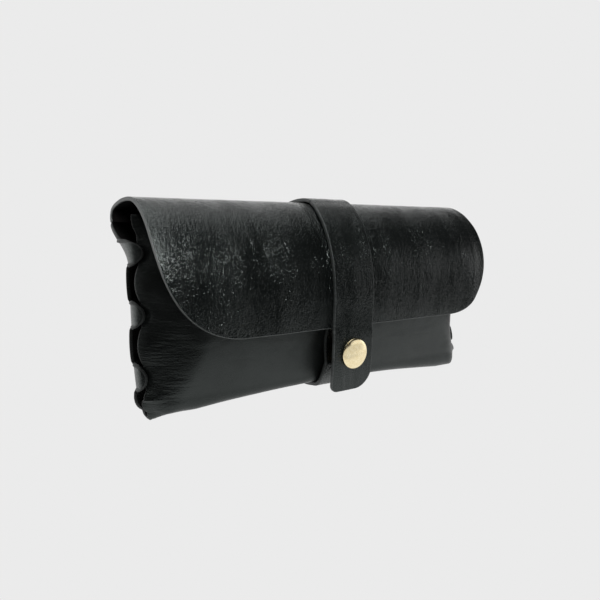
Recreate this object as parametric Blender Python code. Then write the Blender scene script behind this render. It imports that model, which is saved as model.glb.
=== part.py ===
"""Soft pouch glasses case, one sheet of leather folded into a pouch, a rolled top and a front flap, and
held shut by a leather strap with a brass snap.

Frame: origin at the middle of the underside, +X along the case, -Y to the front, +Z up. All sizes are in
metres. The leather is modelled on its middle surface and thickened to both sides.
"""

import math

import bmesh
import bpy
from mathutils import Matrix, Vector

MM = 0.001

# ---- driving dimensions ---------------------------------------------------------------------------
HALF_LENGTH = 82.5 * MM
LEATHER = 1.5 * MM
GAP = 0.3 * MM  # kept between pieces that touch
HALF = LEATHER / 2
FINE_STEPS = 400  # samples along a curve before its points are spaced evenly

# Height against depth of the middle section, front panel then back panel (leather's middle surface).
FOLD_TOP = 8.0 * MM  # where the bottom fold ends and the panels start
FRONT_PROFILE = [(8, -8.3), (14, -10.0), (22.5, -12.4), (28, -13.9), (36, -15.4), (45, -16.1), (54, -15.5),
                 (64, -12.0), (71, -6.0)]
BACK_PROFILE = [(8, 7.4), (14, 10.4), (22, 13.8), (32, 16.6), (45, 18.0), (58, 19.0), (66, 19.9), (71, 20.35)]
# Bottom fold as shares of its half width and of its height, from the panel to the flat underside.
FOLD_SHAPE = [(0.97, 0.62), (0.90, 0.30), (0.79, 0.08), (0.63, 0.0)]
FOLD_HALF_WIDTH = 7.2 * MM
ARCH_RISE = 2.85 * MM  # the strap pulls the middle of the underside up by this much
ARCH_HALF_LENGTH = 64 * MM

# Side seams: both panels lie flat together along each end and flare out from there.
SEAM_DEPTH = 4.0 * MM  # the seam stands this far behind the frame's middle
FOLD_DEPTH = -2.2 * MM  # and the underside lies this far before it, under the case's weight
SEAM_EASE = 22 * MM  # the seam comes back from the one depth to the other over this height
SEAM_FLAT = 5.0 * MM
FLARE_LENGTH = 22 * MM
FOLD_FLARE_LENGTH = 11 * MM  # the underside stays full closer to its ends
FULL_FLARE_HEIGHT = 30 * MM
SEAM_HALF_GAP = HALF + GAP / 2
CORNER_OPENING = 1.5 * MM  # the folded corner can't be pressed quite flat
CORNER_EASE = 14 * MM
CORNER_CUT = 3.7 * MM
CORNER_HEIGHT = 6 * MM
ROLL_FLARE = (55 * MM, 73 * MM)  # the back panel leaves the seam for the roll between these heights

# Locking tabs: rounded tabs of the back panel, folded round the front panel's edge.
TAB_HEIGHTS = [16.4 * MM, 38.4 * MM, 60.4 * MM]
TAB_HALF_HEIGHT = 5.0 * MM
TAB_ROWS = [-4.6 * MM, -2.6 * MM, 0.0, 2.6 * MM, 4.6 * MM]
NOTCH_ROW = 5.3 * MM  # first row outside the notch, above and below a tab
BESIDE_TAB = (TAB_ROWS[-1] + NOTCH_ROW) / 2
TAB_REACH = 1.9 * MM  # how far a tab runs along the front panel past the bend
TAB_PINCH = 0.4 * MM
TAB_STEPS = 7

MOUTH_HEIGHT = 71.0 * MM
CORNER_PEAK = 1.6 * MM  # the mouth edge stands this much higher at its two corners
PEAK_START = 60 * MM
PLAIN_ROWS = [26.5 * MM, 49.4 * MM, 68.6 * MM]  # rows of the panels between and above the tabs
COLUMNS = [9 * MM, 20 * MM, 33 * MM, 45 * MM, 55 * MM, 62 * MM, 67.5 * MM, 71.5 * MM, 75 * MM]

# Flap: its section from the hinge line over the roll and down the front.
HINGE_HEIGHT = 71.0 * MM
HINGE_OUTSET = 0.15 * MM  # the flap bends about a line just off the strap's outer face
FLAP_SECTION = [(20.4, 71.15), (20.5, 73.4), (18.9, 76.3), (14.3, 78.3), (6.5, 78.9), (-1.5, 77.7),
                (-8.0, 74.4), (-13.3, 69.4), (-17.2, 63.2), (-19.5, 56.5), (-20.2, 49.5), (-19.7, 42.0),
                (-18.8, 35.0), (-17.75, 28.0)]
FLAP_CORNER = (30 * MM, 27 * MM)  # lower corner radii, along the case and up it
FLAP_ROWS = 34
FLAP_COLUMNS = 8  # on each side of the middle

# Strap
STRAP_HALF_WIDTH = 10.25 * MM
STRAP_OFFSET = LEATHER + GAP
UNDER_EASE = 0.1 * MM  # a little more room round the tight turn under the case
TONGUE_SPLIT = -8.5 * MM  # depth at which the tongue starts to lift from the roll
STUD_END = [(-16.4, 31.0), (-15.65, 27.3), (-14.3, 22.6), (-14.3, 11.4)]
UNDER_TURN = 4.4 * MM  # below this height the strap follows the underside
STRAP_BACK = [8, 14, 22, 32, 45, 58, 66, 70.85]  # heights at which it follows the back panel
TONGUE_LEAVES = 29 * MM  # below this height the tongue leaves the flap for the snap
STRAP_STEPS = (64, 14, 40)
TAB_END = [(-19.3, 22.8), (-19.3, 11.2), (-18.3, 6.5), (-17.0, 2.5)]
TAB_END_RADIUS = 5.0 * MM

# Snap, a line-20 spring snap on an axis along Y
SNAP_HEIGHT = 17.0 * MM
SNAP_STEPS = 32
CAP_RADIUS = 6.25 * MM
TONGUE_HOLE = 2.4 * MM
STUD_HOLE = 2.0 * MM
UNDER_STRAP_Y = -14.3 * MM
TONGUE_Y = -19.3 * MM

LEATHER_BLACK = (0.012, 0.013, 0.013)
BRASS = (0.72, 0.52, 0.25)


def clear_scene():
    for item in list(bpy.data.objects):
        bpy.data.objects.remove(item, do_unlink=True)


def material(name, colour, roughness, metallic):
    made = bpy.data.materials.new(name)
    made.use_nodes = True
    shader = made.node_tree.nodes["Principled BSDF"]
    shader.inputs["Base Color"].default_value = (*colour, 1.0)
    shader.inputs["Roughness"].default_value = roughness
    shader.inputs["Metallic"].default_value = metallic
    return made


def add_object(name, mesh, look, parent=None):
    made = bpy.data.objects.new(name, mesh)
    bpy.context.scene.collection.objects.link(made)
    made.data.materials.append(look)
    if parent is not None:
        made.parent = parent
        made.matrix_parent_inverse = Matrix.Translation(parent.location).inverted()
    return made


def hinge_empty(name, place):
    made = bpy.data.objects.new(name, None)
    made.location = place
    bpy.context.scene.collection.objects.link(made)
    return made


def ease(low, high, value):
    share = min(max((value - low) / (high - low), 0.0), 1.0)
    return share * share * (3 - 2 * share)


def through(points, t):
    """The smooth curve through (t, value) points, at t."""
    if t <= points[0][0]:
        return points[0][1]
    for i in range(len(points) - 1):
        (t0, v0), (t1, v1) = points[i], points[i + 1]
        if t <= t1:
            before = points[max(i - 1, 0)]
            after = points[min(i + 2, len(points) - 1)]
            slope0 = (v1 - before[1]) / (t1 - before[0])
            slope1 = (after[1] - v0) / (after[0] - t0)
            span = t1 - t0
            s = (t - t0) / span
            return ((2 * s**3 - 3 * s**2 + 1) * v0 + (s**3 - 2 * s**2 + s) * span * slope0
                    + (3 * s**2 - 2 * s**3) * v1 + (s**3 - s**2) * span * slope1)
    return points[-1][1]


def smooth_path(points, steps):
    """steps + 1 evenly spaced points along the smooth curve through 2-D points."""
    reached = [0.0]
    for a, b in zip(points, points[1:]):
        reached.append(reached[-1] + math.dist(a, b))
    first = [(t, p[0]) for t, p in zip(reached, points)]
    second = [(t, p[1]) for t, p in zip(reached, points)]
    distances = [reached[-1] * i / FINE_STEPS for i in range(FINE_STEPS + 1)]
    fine = [(through(first, t), through(second, t)) for t in distances]
    return spaced(fine, steps)


def spaced(fine, steps):
    """steps + 1 points at even distances along a fine 2-D line."""
    reached = [0.0]
    for a, b in zip(fine, fine[1:]):
        reached.append(reached[-1] + math.dist(a, b))
    out = []
    k = 0
    for i in range(steps + 1):
        want = reached[-1] * i / steps
        while k < len(fine) - 2 and reached[k + 1] < want:
            k += 1
        share = (want - reached[k]) / max(reached[k + 1] - reached[k], 1e-12)
        share = min(max(share, 0.0), 1.0)
        out.append(tuple(fine[k][j] + (fine[k + 1][j] - fine[k][j]) * share for j in (0, 1)))
    return out


def offset_line(line, distance):
    """A 2-D line moved sideways, to the right of its own direction."""
    out = []
    for i, (y, z) in enumerate(line):
        before = line[max(i - 1, 0)]
        after = line[min(i + 1, len(line) - 1)]
        dy, dz = after[0] - before[0], after[1] - before[1]
        size = math.hypot(dy, dz)
        out.append((y + dz / size * distance, z - dy / size * distance))
    return out


def in_metres(points):
    return [(a * MM, b * MM) for a, b in points]


# ---- pouch ----------------------------------------------------------------------------------------
def flare(x, z):
    """0 where the panels lie together at the seam, 1 where the pouch is full."""
    length = FOLD_FLARE_LENGTH + (FLARE_LENGTH - FOLD_FLARE_LENGTH) * ease(0.0, FULL_FLARE_HEIGHT, z)
    share = (HALF_LENGTH - abs(x) - SEAM_FLAT) / length
    return math.sin(min(max(share, 0.0), 1.0) * math.pi / 2)


def seam_y(z):
    return FOLD_DEPTH + (SEAM_DEPTH - FOLD_DEPTH) * ease(0.0, SEAM_EASE, z)


def seam_half_gap(z):
    return SEAM_HALF_GAP + CORNER_OPENING * (1 - ease(0.0, CORNER_EASE, z))


def beside_tab(z):
    return any(abs(z - tab) < BESIDE_TAB for tab in TAB_HEIGHTS)


def edge_x(z):
    """Where a panel's side edge is; it is cut back where a tab folds round it."""
    if beside_tab(z):
        return HALF_LENGTH - TAB_PINCH - (LEATHER + GAP + HALF)
    return HALF_LENGTH - CORNER_CUT * max(0.0, 1 - z / CORNER_HEIGHT) ** 2


def front_point(x, z):
    full = through(FRONT_PROFILE, z / MM) * MM
    pinched = seam_y(z) - seam_half_gap(z)
    share = flare(x, z)
    lift = CORNER_PEAK * (1 - share) * ease(PEAK_START, MOUTH_HEIGHT, z)
    return Vector((x, pinched + (full - pinched) * share, z + lift))


def back_point(x, z):
    full = through(BACK_PROFILE, z / MM) * MM
    pinched = seam_y(z) + seam_half_gap(z)
    share = flare(x, z)
    share += (1 - share) * ease(*ROLL_FLARE, z)
    return Vector((x, pinched + (full - pinched) * share, z))


def fold_point(x, side, shape):
    """A point of the bottom fold; side is -1 at the front and 1 at the back."""
    base = HALF + ARCH_RISE * max(0.0, 1 - (x / ARCH_HALF_LENGTH) ** 2)
    z = base + (FOLD_TOP - base) * shape[1]
    share = flare(x, z)
    pinched = seam_half_gap(z)
    half_width = pinched + (FOLD_HALF_WIDTH - pinched) * share
    middle = FOLD_DEPTH * (1 - shape[1]) + seam_y(z) * (1 - share) * shape[1]
    return Vector((x, middle + side * half_width * shape[0], z))


def panel_heights():
    """Row heights of a panel, with rows on the edges of every tab."""
    rows = {FOLD_TOP, MOUTH_HEIGHT, *PLAIN_ROWS}
    for tab in TAB_HEIGHTS:
        rows |= {tab + row for row in TAB_ROWS}
        rows |= {tab - NOTCH_ROW, tab + NOTCH_ROW}
    return sorted(rows)


def columns(limit):
    """Places along the case from one side edge to the other."""
    last = COLUMNS[-1]
    half = COLUMNS + [last + (limit - last) * share for share in (0.4, 1.0)]
    return [-x for x in reversed(half)] + [0.0] + half


def tab_points(side, z):
    """Points from the back panel's edge round the front panel's edge, for one row of a tab."""
    row = min((z - tab for tab in TAB_HEIGHTS), key=abs)
    edge = edge_x(z)
    start = back_point(side * edge, z)
    front_y = front_point(side * HALF_LENGTH, z).y - STRAP_OFFSET
    centre_y = (start.y + front_y) / 2
    radius_y = (start.y - front_y) / 2
    radius_x = LEATHER + GAP
    turn = math.pi * (radius_x + radius_y) / 2
    reach = (turn + TAB_REACH) * math.sqrt(1 - (row / TAB_HALF_HEIGHT) ** 2)
    out = []
    for i in range(1, TAB_STEPS + 1):
        along = reach * i / TAB_STEPS
        if along < turn:
            angle = math.pi * along / turn
            x = edge + radius_x * math.sin(angle)
            y = centre_y + radius_y * math.cos(angle)
        else:
            x = edge - (along - turn)
            y = front_y
        out.append(Vector((side * x, y, z)))
    return out


def whole_fold():
    """(side, shape) of each row of the bottom fold, from the front panel to the back panel."""
    return [(-1, shape) for shape in FOLD_SHAPE] + [(1, shape) for shape in reversed(FOLD_SHAPE)]


def pouch_mesh():
    bm = bmesh.new()
    heights = panel_heights()
    rows = [[front_point(x, z) for x in columns(edge_x(z))] for z in reversed(heights)]
    for side, shape in whole_fold():
        rows.append([fold_point(x, side, shape) for x in columns(edge_x(FOLD_TOP * shape[1]))])
    tab_rows = {}
    for z in heights:
        if beside_tab(z):
            tab_rows[len(rows)] = z
        level = min(z, MOUTH_HEIGHT - GAP / 2)
        rows.append([back_point(x, level) for x in columns(edge_x(z))])
    grid = [[bm.verts.new(p) for p in row] for row in rows]
    for low, high in zip(grid, grid[1:]):
        for i in range(len(low) - 1):
            bm.faces.new((low[i], low[i + 1], high[i + 1], high[i]))
    for side, edge_column in ((-1, 0), (1, -1)):
        strips = {k: [grid[k][edge_column]] + [bm.verts.new(p) for p in tab_points(side, z)]
                  for k, z in tab_rows.items()}
        for k in strips:
            if k + 1 in strips:
                for i in range(TAB_STEPS):
                    quad = (strips[k][i], strips[k][i + 1], strips[k + 1][i + 1], strips[k + 1][i])
                    bm.faces.new(quad)
    return finished("pouch_shell", bm, smooth=True)


def finished(name, bm, smooth=False):
    """The mesh of a finished bmesh, its faces pointing out."""
    bmesh.ops.recalc_face_normals(bm, faces=bm.faces)
    mesh = bpy.data.meshes.new(name)
    bm.to_mesh(mesh)
    bm.free()
    if smooth:
        mesh.shade_smooth()
    return mesh


def thicken(item):
    solid = item.modifiers.new("leather", "SOLIDIFY")
    solid.thickness = LEATHER
    solid.offset = 0.0
    solid.use_even_offset = True


# ---- flap -----------------------------------------------------------------------------------------
def flap_mesh():
    line = smooth_path(in_metres(FLAP_SECTION), FLAP_ROWS)
    length = sum(math.dist(a, b) for a, b in zip(line, line[1:]))
    along = 0.0
    bm = bmesh.new()
    grid = []
    shares = [math.sin(math.pi / 2 * i / FLAP_COLUMNS) for i in range(-FLAP_COLUMNS, FLAP_COLUMNS + 1)]
    for i, (y, z) in enumerate(line):
        if i:
            along += math.dist(line[i - 1], line[i])
        into = max(0.0, (along - (length - FLAP_CORNER[1])) / FLAP_CORNER[1])
        half = HALF_LENGTH - FLAP_CORNER[0] * (1 - math.sqrt(max(0.0, 1 - min(into, 1.0) ** 2)))
        grid.append([bm.verts.new((half * s, y, z)) for s in shares])
    for low, high in zip(grid, grid[1:]):
        for i in range(len(low) - 1):
            bm.faces.new((low[i], low[i + 1], high[i + 1], high[i]))
    return finished("flap", bm, smooth=True)


# ---- strap ----------------------------------------------------------------------------------------
def ribbon_mesh(name, line, round_end=False):
    """A flat strip of leather along a line in the YZ plane, its width along X."""
    outer = offset_line(line, HALF)
    inner = offset_line(line, -HALF)
    length = sum(math.dist(a, b) for a, b in zip(line, line[1:]))
    along = 0.0
    bm = bmesh.new()
    rings = []
    for i, (out_point, in_point) in enumerate(zip(outer, inner)):
        if i:
            along += math.dist(line[i - 1], line[i])
        half = STRAP_HALF_WIDTH
        into = (along - (length - TAB_END_RADIUS)) / TAB_END_RADIUS
        if round_end and into > 0:
            half -= TAB_END_RADIUS * (1 - math.sqrt(max(0.0, 1 - min(into, 1.0) ** 2)))
        corners = [(-half, *out_point), (half, *out_point), (half, *in_point), (-half, *in_point)]
        rings.append([bm.verts.new(c) for c in corners])
    for a, b in zip(rings, rings[1:]):
        for k in range(4):
            bm.faces.new((a[k], a[(k + 1) % 4], b[(k + 1) % 4], b[k]))
    bm.faces.new(reversed(rings[0]))
    bm.faces.new(rings[-1])
    return finished(name, bm)


def strap_lines():
    """The strap's middle surface in three stretches: back and underside, over the roll, and the tongue."""
    fold = [fold_point(0.0, side, shape).yz for side, shape in whole_fold()]
    back = [back_point(0.0, z * MM).yz for z in STRAP_BACK]
    under = offset_line(smooth_path(fold + back, 60), STRAP_OFFSET + UNDER_EASE)
    under = smooth_path(in_metres(STUD_END), 12) + [p for p in under if p[0] > 0 or p[1] < UNDER_TURN]
    over = offset_line(smooth_path(in_metres(FLAP_SECTION), 120), STRAP_OFFSET)
    crown = [p for p in over if p[0] > TONGUE_SPLIT + GAP]
    tongue = [p for p in over if p[0] < TONGUE_SPLIT and p[1] > TONGUE_LEAVES]
    tongue += smooth_path(in_metres(TAB_END), 16)
    return [spaced(line, steps) for line, steps in zip((under, crown, tongue), STRAP_STEPS)]


def bore(item, radius, depth_y):
    """A round hole through a strap on the snap's axis."""
    bm = bmesh.new()
    turn = Matrix.Translation((0, depth_y, SNAP_HEIGHT)) @ Matrix.Rotation(math.pi / 2, 4, "X")
    bmesh.ops.create_cone(bm, cap_ends=True, segments=SNAP_STEPS, radius1=radius, radius2=radius,
                          depth=6 * MM, matrix=turn)
    mesh = bpy.data.meshes.new(item.name + "_bore")
    bm.to_mesh(mesh)
    bm.free()
    cutter = bpy.data.objects.new(item.name + "_bore", mesh)
    bpy.context.scene.collection.objects.link(cutter)
    cutter.hide_render = True
    cutter.display_type = "WIRE"
    cut = item.modifiers.new("bore", "BOOLEAN")
    cut.operation = "DIFFERENCE"
    cut.object = cutter


# ---- snap -----------------------------------------------------------------------------------------
def turned_mesh(name, profile):
    """A closed turned piece; profile is a closed loop of (radius, depth along Y) in mm, radius 0 on the axis."""
    bm = bmesh.new()
    loops = []
    for radius, y in profile:
        if radius == 0:
            loops.append([bm.verts.new((0, y * MM, SNAP_HEIGHT))])
            continue
        ring = []
        for k in range(SNAP_STEPS):
            angle = 2 * math.pi * k / SNAP_STEPS
            place = (radius * MM * math.cos(angle), y * MM, SNAP_HEIGHT + radius * MM * math.sin(angle))
            ring.append(bm.verts.new(place))
        loops.append(ring)
    pairs = list(zip(loops, loops[1:]))
    if len(loops[0]) > 1:
        pairs.append((loops[-1], loops[0]))
    for a, b in pairs:
        for k in range(SNAP_STEPS):
            n = (k + 1) % SNAP_STEPS
            if len(a) == 1 and len(b) == 1:
                continue
            if len(a) == 1:
                bm.faces.new((a[0], b[n], b[k]))
            elif len(b) == 1:
                bm.faces.new((a[k], a[n], b[0]))
            else:
                bm.faces.new((a[k], a[n], b[n], b[k]))
    mesh = finished(name, bm, smooth=True)
    mesh.set_sharp_from_angle(angle=math.radians(35))
    return mesh


def dome(radius, base_y, height, rows):
    """Profile points of a low dome, from its tip on the axis to its rim."""
    out = [(0, base_y - height)]
    for i in range(1, rows + 1):
        angle = math.pi / 2 * i / rows
        out.append((radius * math.sin(angle), base_y - height * math.cos(angle)))
    return out


def cap_profile():
    """The dome on the tongue's face, with a hollow post through the leather."""
    face = (TONGUE_Y - HALF - GAP) / MM
    post_end = -17.75
    outside = dome(CAP_RADIUS / MM, face - 0.45, 2.25, 7)
    post = [(2.0, face), (2.0, post_end), (1.4, post_end), (1.4, face - 1.2), (0, face - 1.2)]
    return outside + [(6.05, face)] + post


def socket_profile():
    back = (TONGUE_Y + HALF + GAP) / MM
    return [(2.4, back), (5.6, back), (5.7, back + 0.5), (4.9, back + 1.0), (4.8, back + 1.6), (4.5, back + 1.9),
            (3.4, back + 1.9), (3.4, back + 1.5), (4.1, back + 1.4), (4.1, back + 0.4), (2.4, back + 0.4)]


def stud_profile():
    """Flange, then a low knob; open at the back, where the rivet's post comes in."""
    base = (UNDER_STRAP_Y - HALF - GAP) / MM
    knob = dome(2.4, base - 0.5, 1.6, 5)
    return knob + [(4.9, base - 0.5), (5.1, base - 0.25), (4.9, base), (2.0, base), (2.0, base - 1.0),
                   (1.2, base - 1.5), (0, base - 1.5)]


def rivet_profile():
    face = (UNDER_STRAP_Y + HALF + GAP) / MM
    tip = (UNDER_STRAP_Y - HALF - GAP) / MM - 0.7
    return [(1.1, face + 0.35), (3.3, face + 0.35), (3.5, face + 0.2), (3.4, face), (1.65, face), (1.65, tip),
            (1.1, tip)]


def spring_mesh():
    """An open wire ring that lies in the socket's groove."""
    wire, radius, sides, turn_steps = 0.25 * MM, 3.55 * MM, 8, 30
    opening = math.radians(34)
    middle_y = TONGUE_Y + HALF + GAP + 0.9 * MM
    centre = Vector((0, middle_y, SNAP_HEIGHT))
    bm = bmesh.new()
    rings = []
    for i in range(turn_steps + 1):
        angle = math.pi / 2 + opening / 2 + (2 * math.pi - opening) * i / turn_steps
        ring = []
        for k in range(sides):
            around = 2 * math.pi * k / sides
            r = radius + wire * math.cos(around)
            place = Vector((r * math.cos(angle), wire * math.sin(around), r * math.sin(angle)))
            ring.append(bm.verts.new(centre + place))
        rings.append(ring)
    for a, b in zip(rings, rings[1:]):
        for k in range(sides):
            bm.faces.new((a[k], a[(k + 1) % sides], b[(k + 1) % sides], b[k]))
    bm.faces.new(rings[0])
    bm.faces.new(rings[-1])
    return finished("snap_spring", bm, smooth=True)


def main():
    clear_scene()
    under, crown, tongue = strap_lines()
    strap_face = offset_line(under, HALF)[-1][0]
    flap_hinge = hinge_empty("flap_hinge_axis", (0, strap_face + HINGE_OUTSET, HINGE_HEIGHT))
    tongue_start = offset_line(tongue, HALF)[0]
    tongue_hinge = hinge_empty("tongue_hinge_axis", (0, *tongue_start))

    pouch = add_object("pouch_shell", pouch_mesh(), material("pouch_leather", LEATHER_BLACK, 0.42, 0.0))
    thicken(pouch)
    flap = add_object("flap", flap_mesh(), material("flap_leather", LEATHER_BLACK, 0.34, 0.0), flap_hinge)
    thicken(flap)

    strap_look = material("strap_leather", LEATHER_BLACK, 0.4, 0.0)
    wrap = add_object("wrap_strap", ribbon_mesh("wrap_strap", under), strap_look)
    bore(wrap, STUD_HOLE, UNDER_STRAP_Y)
    crown_look = material("crown_leather", LEATHER_BLACK, 0.38, 0.0)
    add_object("strap_crown", ribbon_mesh("strap_crown", crown), crown_look, flap_hinge)
    tongue_look = material("tongue_leather", LEATHER_BLACK, 0.38, 0.0)
    strap_tongue = ribbon_mesh("strap_tongue", tongue, round_end=True)
    bore(add_object("strap_tongue", strap_tongue, tongue_look, tongue_hinge), TONGUE_HOLE, TONGUE_Y)

    snap = [("snap_cap", turned_mesh("snap_cap", cap_profile()), 0.22, tongue_hinge),
            ("snap_socket", turned_mesh("snap_socket", socket_profile()), 0.30, tongue_hinge),
            ("snap_spring", spring_mesh(), 0.30, tongue_hinge),
            ("snap_stud", turned_mesh("snap_stud", stud_profile()), 0.28, None),
            ("stud_rivet", turned_mesh("stud_rivet", rivet_profile()), 0.30, None)]
    for name, mesh, roughness, carrier in snap:
        add_object(name, mesh, material(name + "_brass", BRASS, roughness, 1.0), carrier)



main()
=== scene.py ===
"""Looks of the soft leather glasses case: the pouch, its flap, the wrap strap and the brass snap.

Every leather piece is a sheet, built on its middle surface and given a grain side, a flesh side and a
rounded cut edge. Sizes are in metres unless a comment says mm, in the part's own frame: X along the case,
-Y to the front, Z up.
"""

import math

import bmesh
import bpy
import numpy as np
from mathutils import Matrix, Vector


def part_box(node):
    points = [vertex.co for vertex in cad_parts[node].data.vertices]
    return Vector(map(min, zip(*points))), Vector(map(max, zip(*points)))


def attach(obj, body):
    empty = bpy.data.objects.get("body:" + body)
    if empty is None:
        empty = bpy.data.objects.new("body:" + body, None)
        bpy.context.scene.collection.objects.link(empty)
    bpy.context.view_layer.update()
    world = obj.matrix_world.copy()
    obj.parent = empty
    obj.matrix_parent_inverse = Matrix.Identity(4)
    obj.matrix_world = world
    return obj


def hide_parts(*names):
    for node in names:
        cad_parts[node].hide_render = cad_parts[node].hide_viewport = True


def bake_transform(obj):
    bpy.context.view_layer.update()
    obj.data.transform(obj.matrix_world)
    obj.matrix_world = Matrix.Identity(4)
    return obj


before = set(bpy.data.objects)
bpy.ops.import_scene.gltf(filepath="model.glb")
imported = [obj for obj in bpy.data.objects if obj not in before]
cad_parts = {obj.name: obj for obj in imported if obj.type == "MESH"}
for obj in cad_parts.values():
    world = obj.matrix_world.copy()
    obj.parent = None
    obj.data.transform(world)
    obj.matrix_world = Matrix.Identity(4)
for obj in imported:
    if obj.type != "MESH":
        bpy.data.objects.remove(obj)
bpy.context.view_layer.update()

MM = 0.001

# ---- sizes of the case ----
HALF_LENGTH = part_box("pouch_shell")[1][0]
LEATHER = 1.5 * MM
HALF = LEATHER / 2
GAP = 0.3 * MM
# The panels' middle surfaces halfway along the case: (height, depth) in mm.
FRONT_PROFILE = [(8, -8.3), (14, -10.0), (22.5, -12.4), (28, -13.9), (36, -15.4), (45, -16.1), (54, -15.5),
                 (64, -12.0), (71, -6.0)]
BACK_PROFILE = [(8, 7.4), (14, 10.4), (22, 13.8), (32, 16.6), (45, 18.0), (58, 19.0), (66, 19.9),
                (71, 20.35)]
FOLD_TOP = 8 * MM
NEAR_FOLD = [14 * MM, 11 * MM, FOLD_TOP]  # heights on a panel that set how it runs into the fold
# One side of the bottom fold: shares of its half width and of its height.
FOLD_SHAPE = [(1.005, 0.62), (0.86, 0.30), (0.67, 0.08), (0.45, 0.0)]
WHOLE_FOLD = [(-1, shape) for shape in FOLD_SHAPE] + [(1, shape) for shape in reversed(FOLD_SHAPE)]
FOLD_ROUND = 19 * MM  # length of the sheet round the fold
FOLD_HALF_WIDTH = 7.2 * MM
ARCH_RISE = 2.85 * MM
ARCH_HALF_LENGTH = 64 * MM
FOOT_RISE = 1.7 * MM  # the soft underside lifts a little between its two corners
FOOT_LEAN = 0.9 * MM  # more on the left and less on the right, by this much at the ends
FOOT_END = 13 * MM  # length over which the lift starts, at each end
SEAM_DEPTH = 4.0 * MM
FOLD_DEPTH = -2.2 * MM
SEAM_FOOT = 0.6 * MM  # depth of the seam's lower end
SEAM_EASE = 22 * MM
FLARE_LENGTH = 22 * MM
FOLD_FLARE_LENGTH = 11 * MM
FULL_FLARE_HEIGHT = 30 * MM
SEAM_HALF_GAP = HALF + GAP / 2
CORNER_OPENING = 1.5 * MM
CORNER_EASE = 14 * MM
CORNER_CUT = 3.7 * MM
CORNER_HEIGHT = 6 * MM
ROLL_FLARE = (55 * MM, 72.5 * MM)
TAB_HEIGHTS = [15.4 * MM, 37.6 * MM, 59.6 * MM]
TAB_HALF_HEIGHT = 4.6 * MM
TAB_REACH = [1.2 * MM, 1.7 * MM, 2.5 * MM]  # how far each tab lies on the front panel, past its turn
TAB_LIFT = LEATHER + 0.1 * MM  # from the front panel's middle surface to the tab's
TAB_DENT = 0.5 * MM  # the front panel is pressed in this much under a tab
DENT_PAST = 0.5 * MM  # the dent reaches this far past the tab's end
DENT_FADE = (1.25, 0.97)  # where the dent starts and is full, as shares of its half size
TAB_TURN = 0.30  # roundness of the tab's turn over the seam
TAB_LAND = 0.3 * MM  # the turned tab meets the front panel this far in from where the turn starts
TAB_LAID = 7 * MM  # length of panel on which a tab could lie
TAB_SHOULDER = (1.2 * MM, 0.8 * MM)  # heights outside and inside a tab's end where its turn fades
HEADING_STEP = 0.1 * MM  # distance over which the back panel's direction is measured
EDGE_BULGE = 0.3 * MM  # the edges between two tabs stand out this much
EDGE_TUCK = 2.2 * MM  # the front panel's edge is set back this much under a tab
EDGE_SET = 0.9 * MM  # and this much between two tabs
LIP = 3.4 * MM  # the front panel's edge rolls back over this width
ROLLED_BACK = 0.5  # by this share of the bulge
FRONT_BULGE = 2.0 * MM  # the seam springs open this much between two tabs, on the front panel
BACK_BULGE = 1.1 * MM  # and on the back panel
BULGE_START = 12 * MM  # and starts to do so this far in from the end
MOUTH_EASE = 2 * MM  # it is fully open this far below the mouth
SEAM_START = 2.2 * MM
MOUTH_HEIGHT = 71.0 * MM
CORNER_PEAK = 1.6 * MM
PEAK_START = 60 * MM
FLAP_SECTION = [(20.35, 71.0), (20.4, 71.15), (20.5, 73.4), (18.9, 75.8), (14.3, 77.4), (6.5, 78.4),
                (-1.5, 77.6), (-8.0, 74.4), (-13.3, 69.4), (-17.2, 63.2), (-19.5, 56.5), (-20.2, 49.5),
                (-19.7, 42.0), (-18.8, 35.0), (-17.75, 28.0)]
# The flap's left and right corner: how far it reaches along the case and up the flap, and its roundness.
FLAP_CORNERS = [(35.3 * MM, 39.9 * MM, 2.22), (24.2 * MM, 25.6 * MM, 2.6)]
RIGHT_EXTRA = 1.8 * MM  # the flap's right side is longer than its left, over these distances down it
RIGHT_EASE = (14 * MM, 45 * MM)
CURL = 0.9  # mm; the flap's sides curl in towards the case
CURL_WIDTH = 7 * MM
CURL_DOWN = (24 * MM, 40 * MM)
RELIEF_START = 12 * MM  # wrinkles are full this far down the flap, and half as far down the pouch's back
STRAP_HALF_WIDTH = 10.25 * MM
STRAP_OFFSET = LEATHER + GAP
UNDER_EASE = 0.1 * MM
STUD_END = [(-16.4, 31.0), (-15.65, 27.3), (-14.3, 22.6), (-14.3, 11.4)]
UNDER_TURN = 4.4 * MM
STRAP_BACK = [8, 14, 22, 32, 45, 58, 66, 71.0]
CROWN_END = 0.1445  # distance along the strap from its stud end to the top of the tongue
TONGUE_SPLIT = -4.0 * MM
TONGUE_LEAVES = 29 * MM
TONGUE_END = [(-19.95, 22.8), (-18.65, 11.2), (-17.9, 6.5), (-16.9, 1.1)]
TONGUE_CORNERS = (2.6 * MM, 8.0 * MM)
SNAP_TILT = math.atan2(1.3, 11.6)  # the tongue leans in towards its end, and the cap with it
# How far the strap strays sideways, against its distance before the start of the tongue's free part (mm).
STRAP_STRAY = [(-60, 0.0), (-16, 3.4), (-4, 3.2), (5, 1.5), (10, 0.1), (16, -0.6), (24, -1.2), (32, -1.2),
               (40, -0.6), (49, 0.1), (60, 0.0)]
SNAP_HEIGHT = 17.0 * MM
UNDER_STRAP_Y = -14.3 * MM
TONGUE_Y = -19.3 * MM
STUD_HOLE = 2.0 * MM
CAP_HOLE = 2.4 * MM
HOLE_DEPTH = 3 * MM  # points this near to a hole's middle, in depth, are on its stretch of the strap

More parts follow.
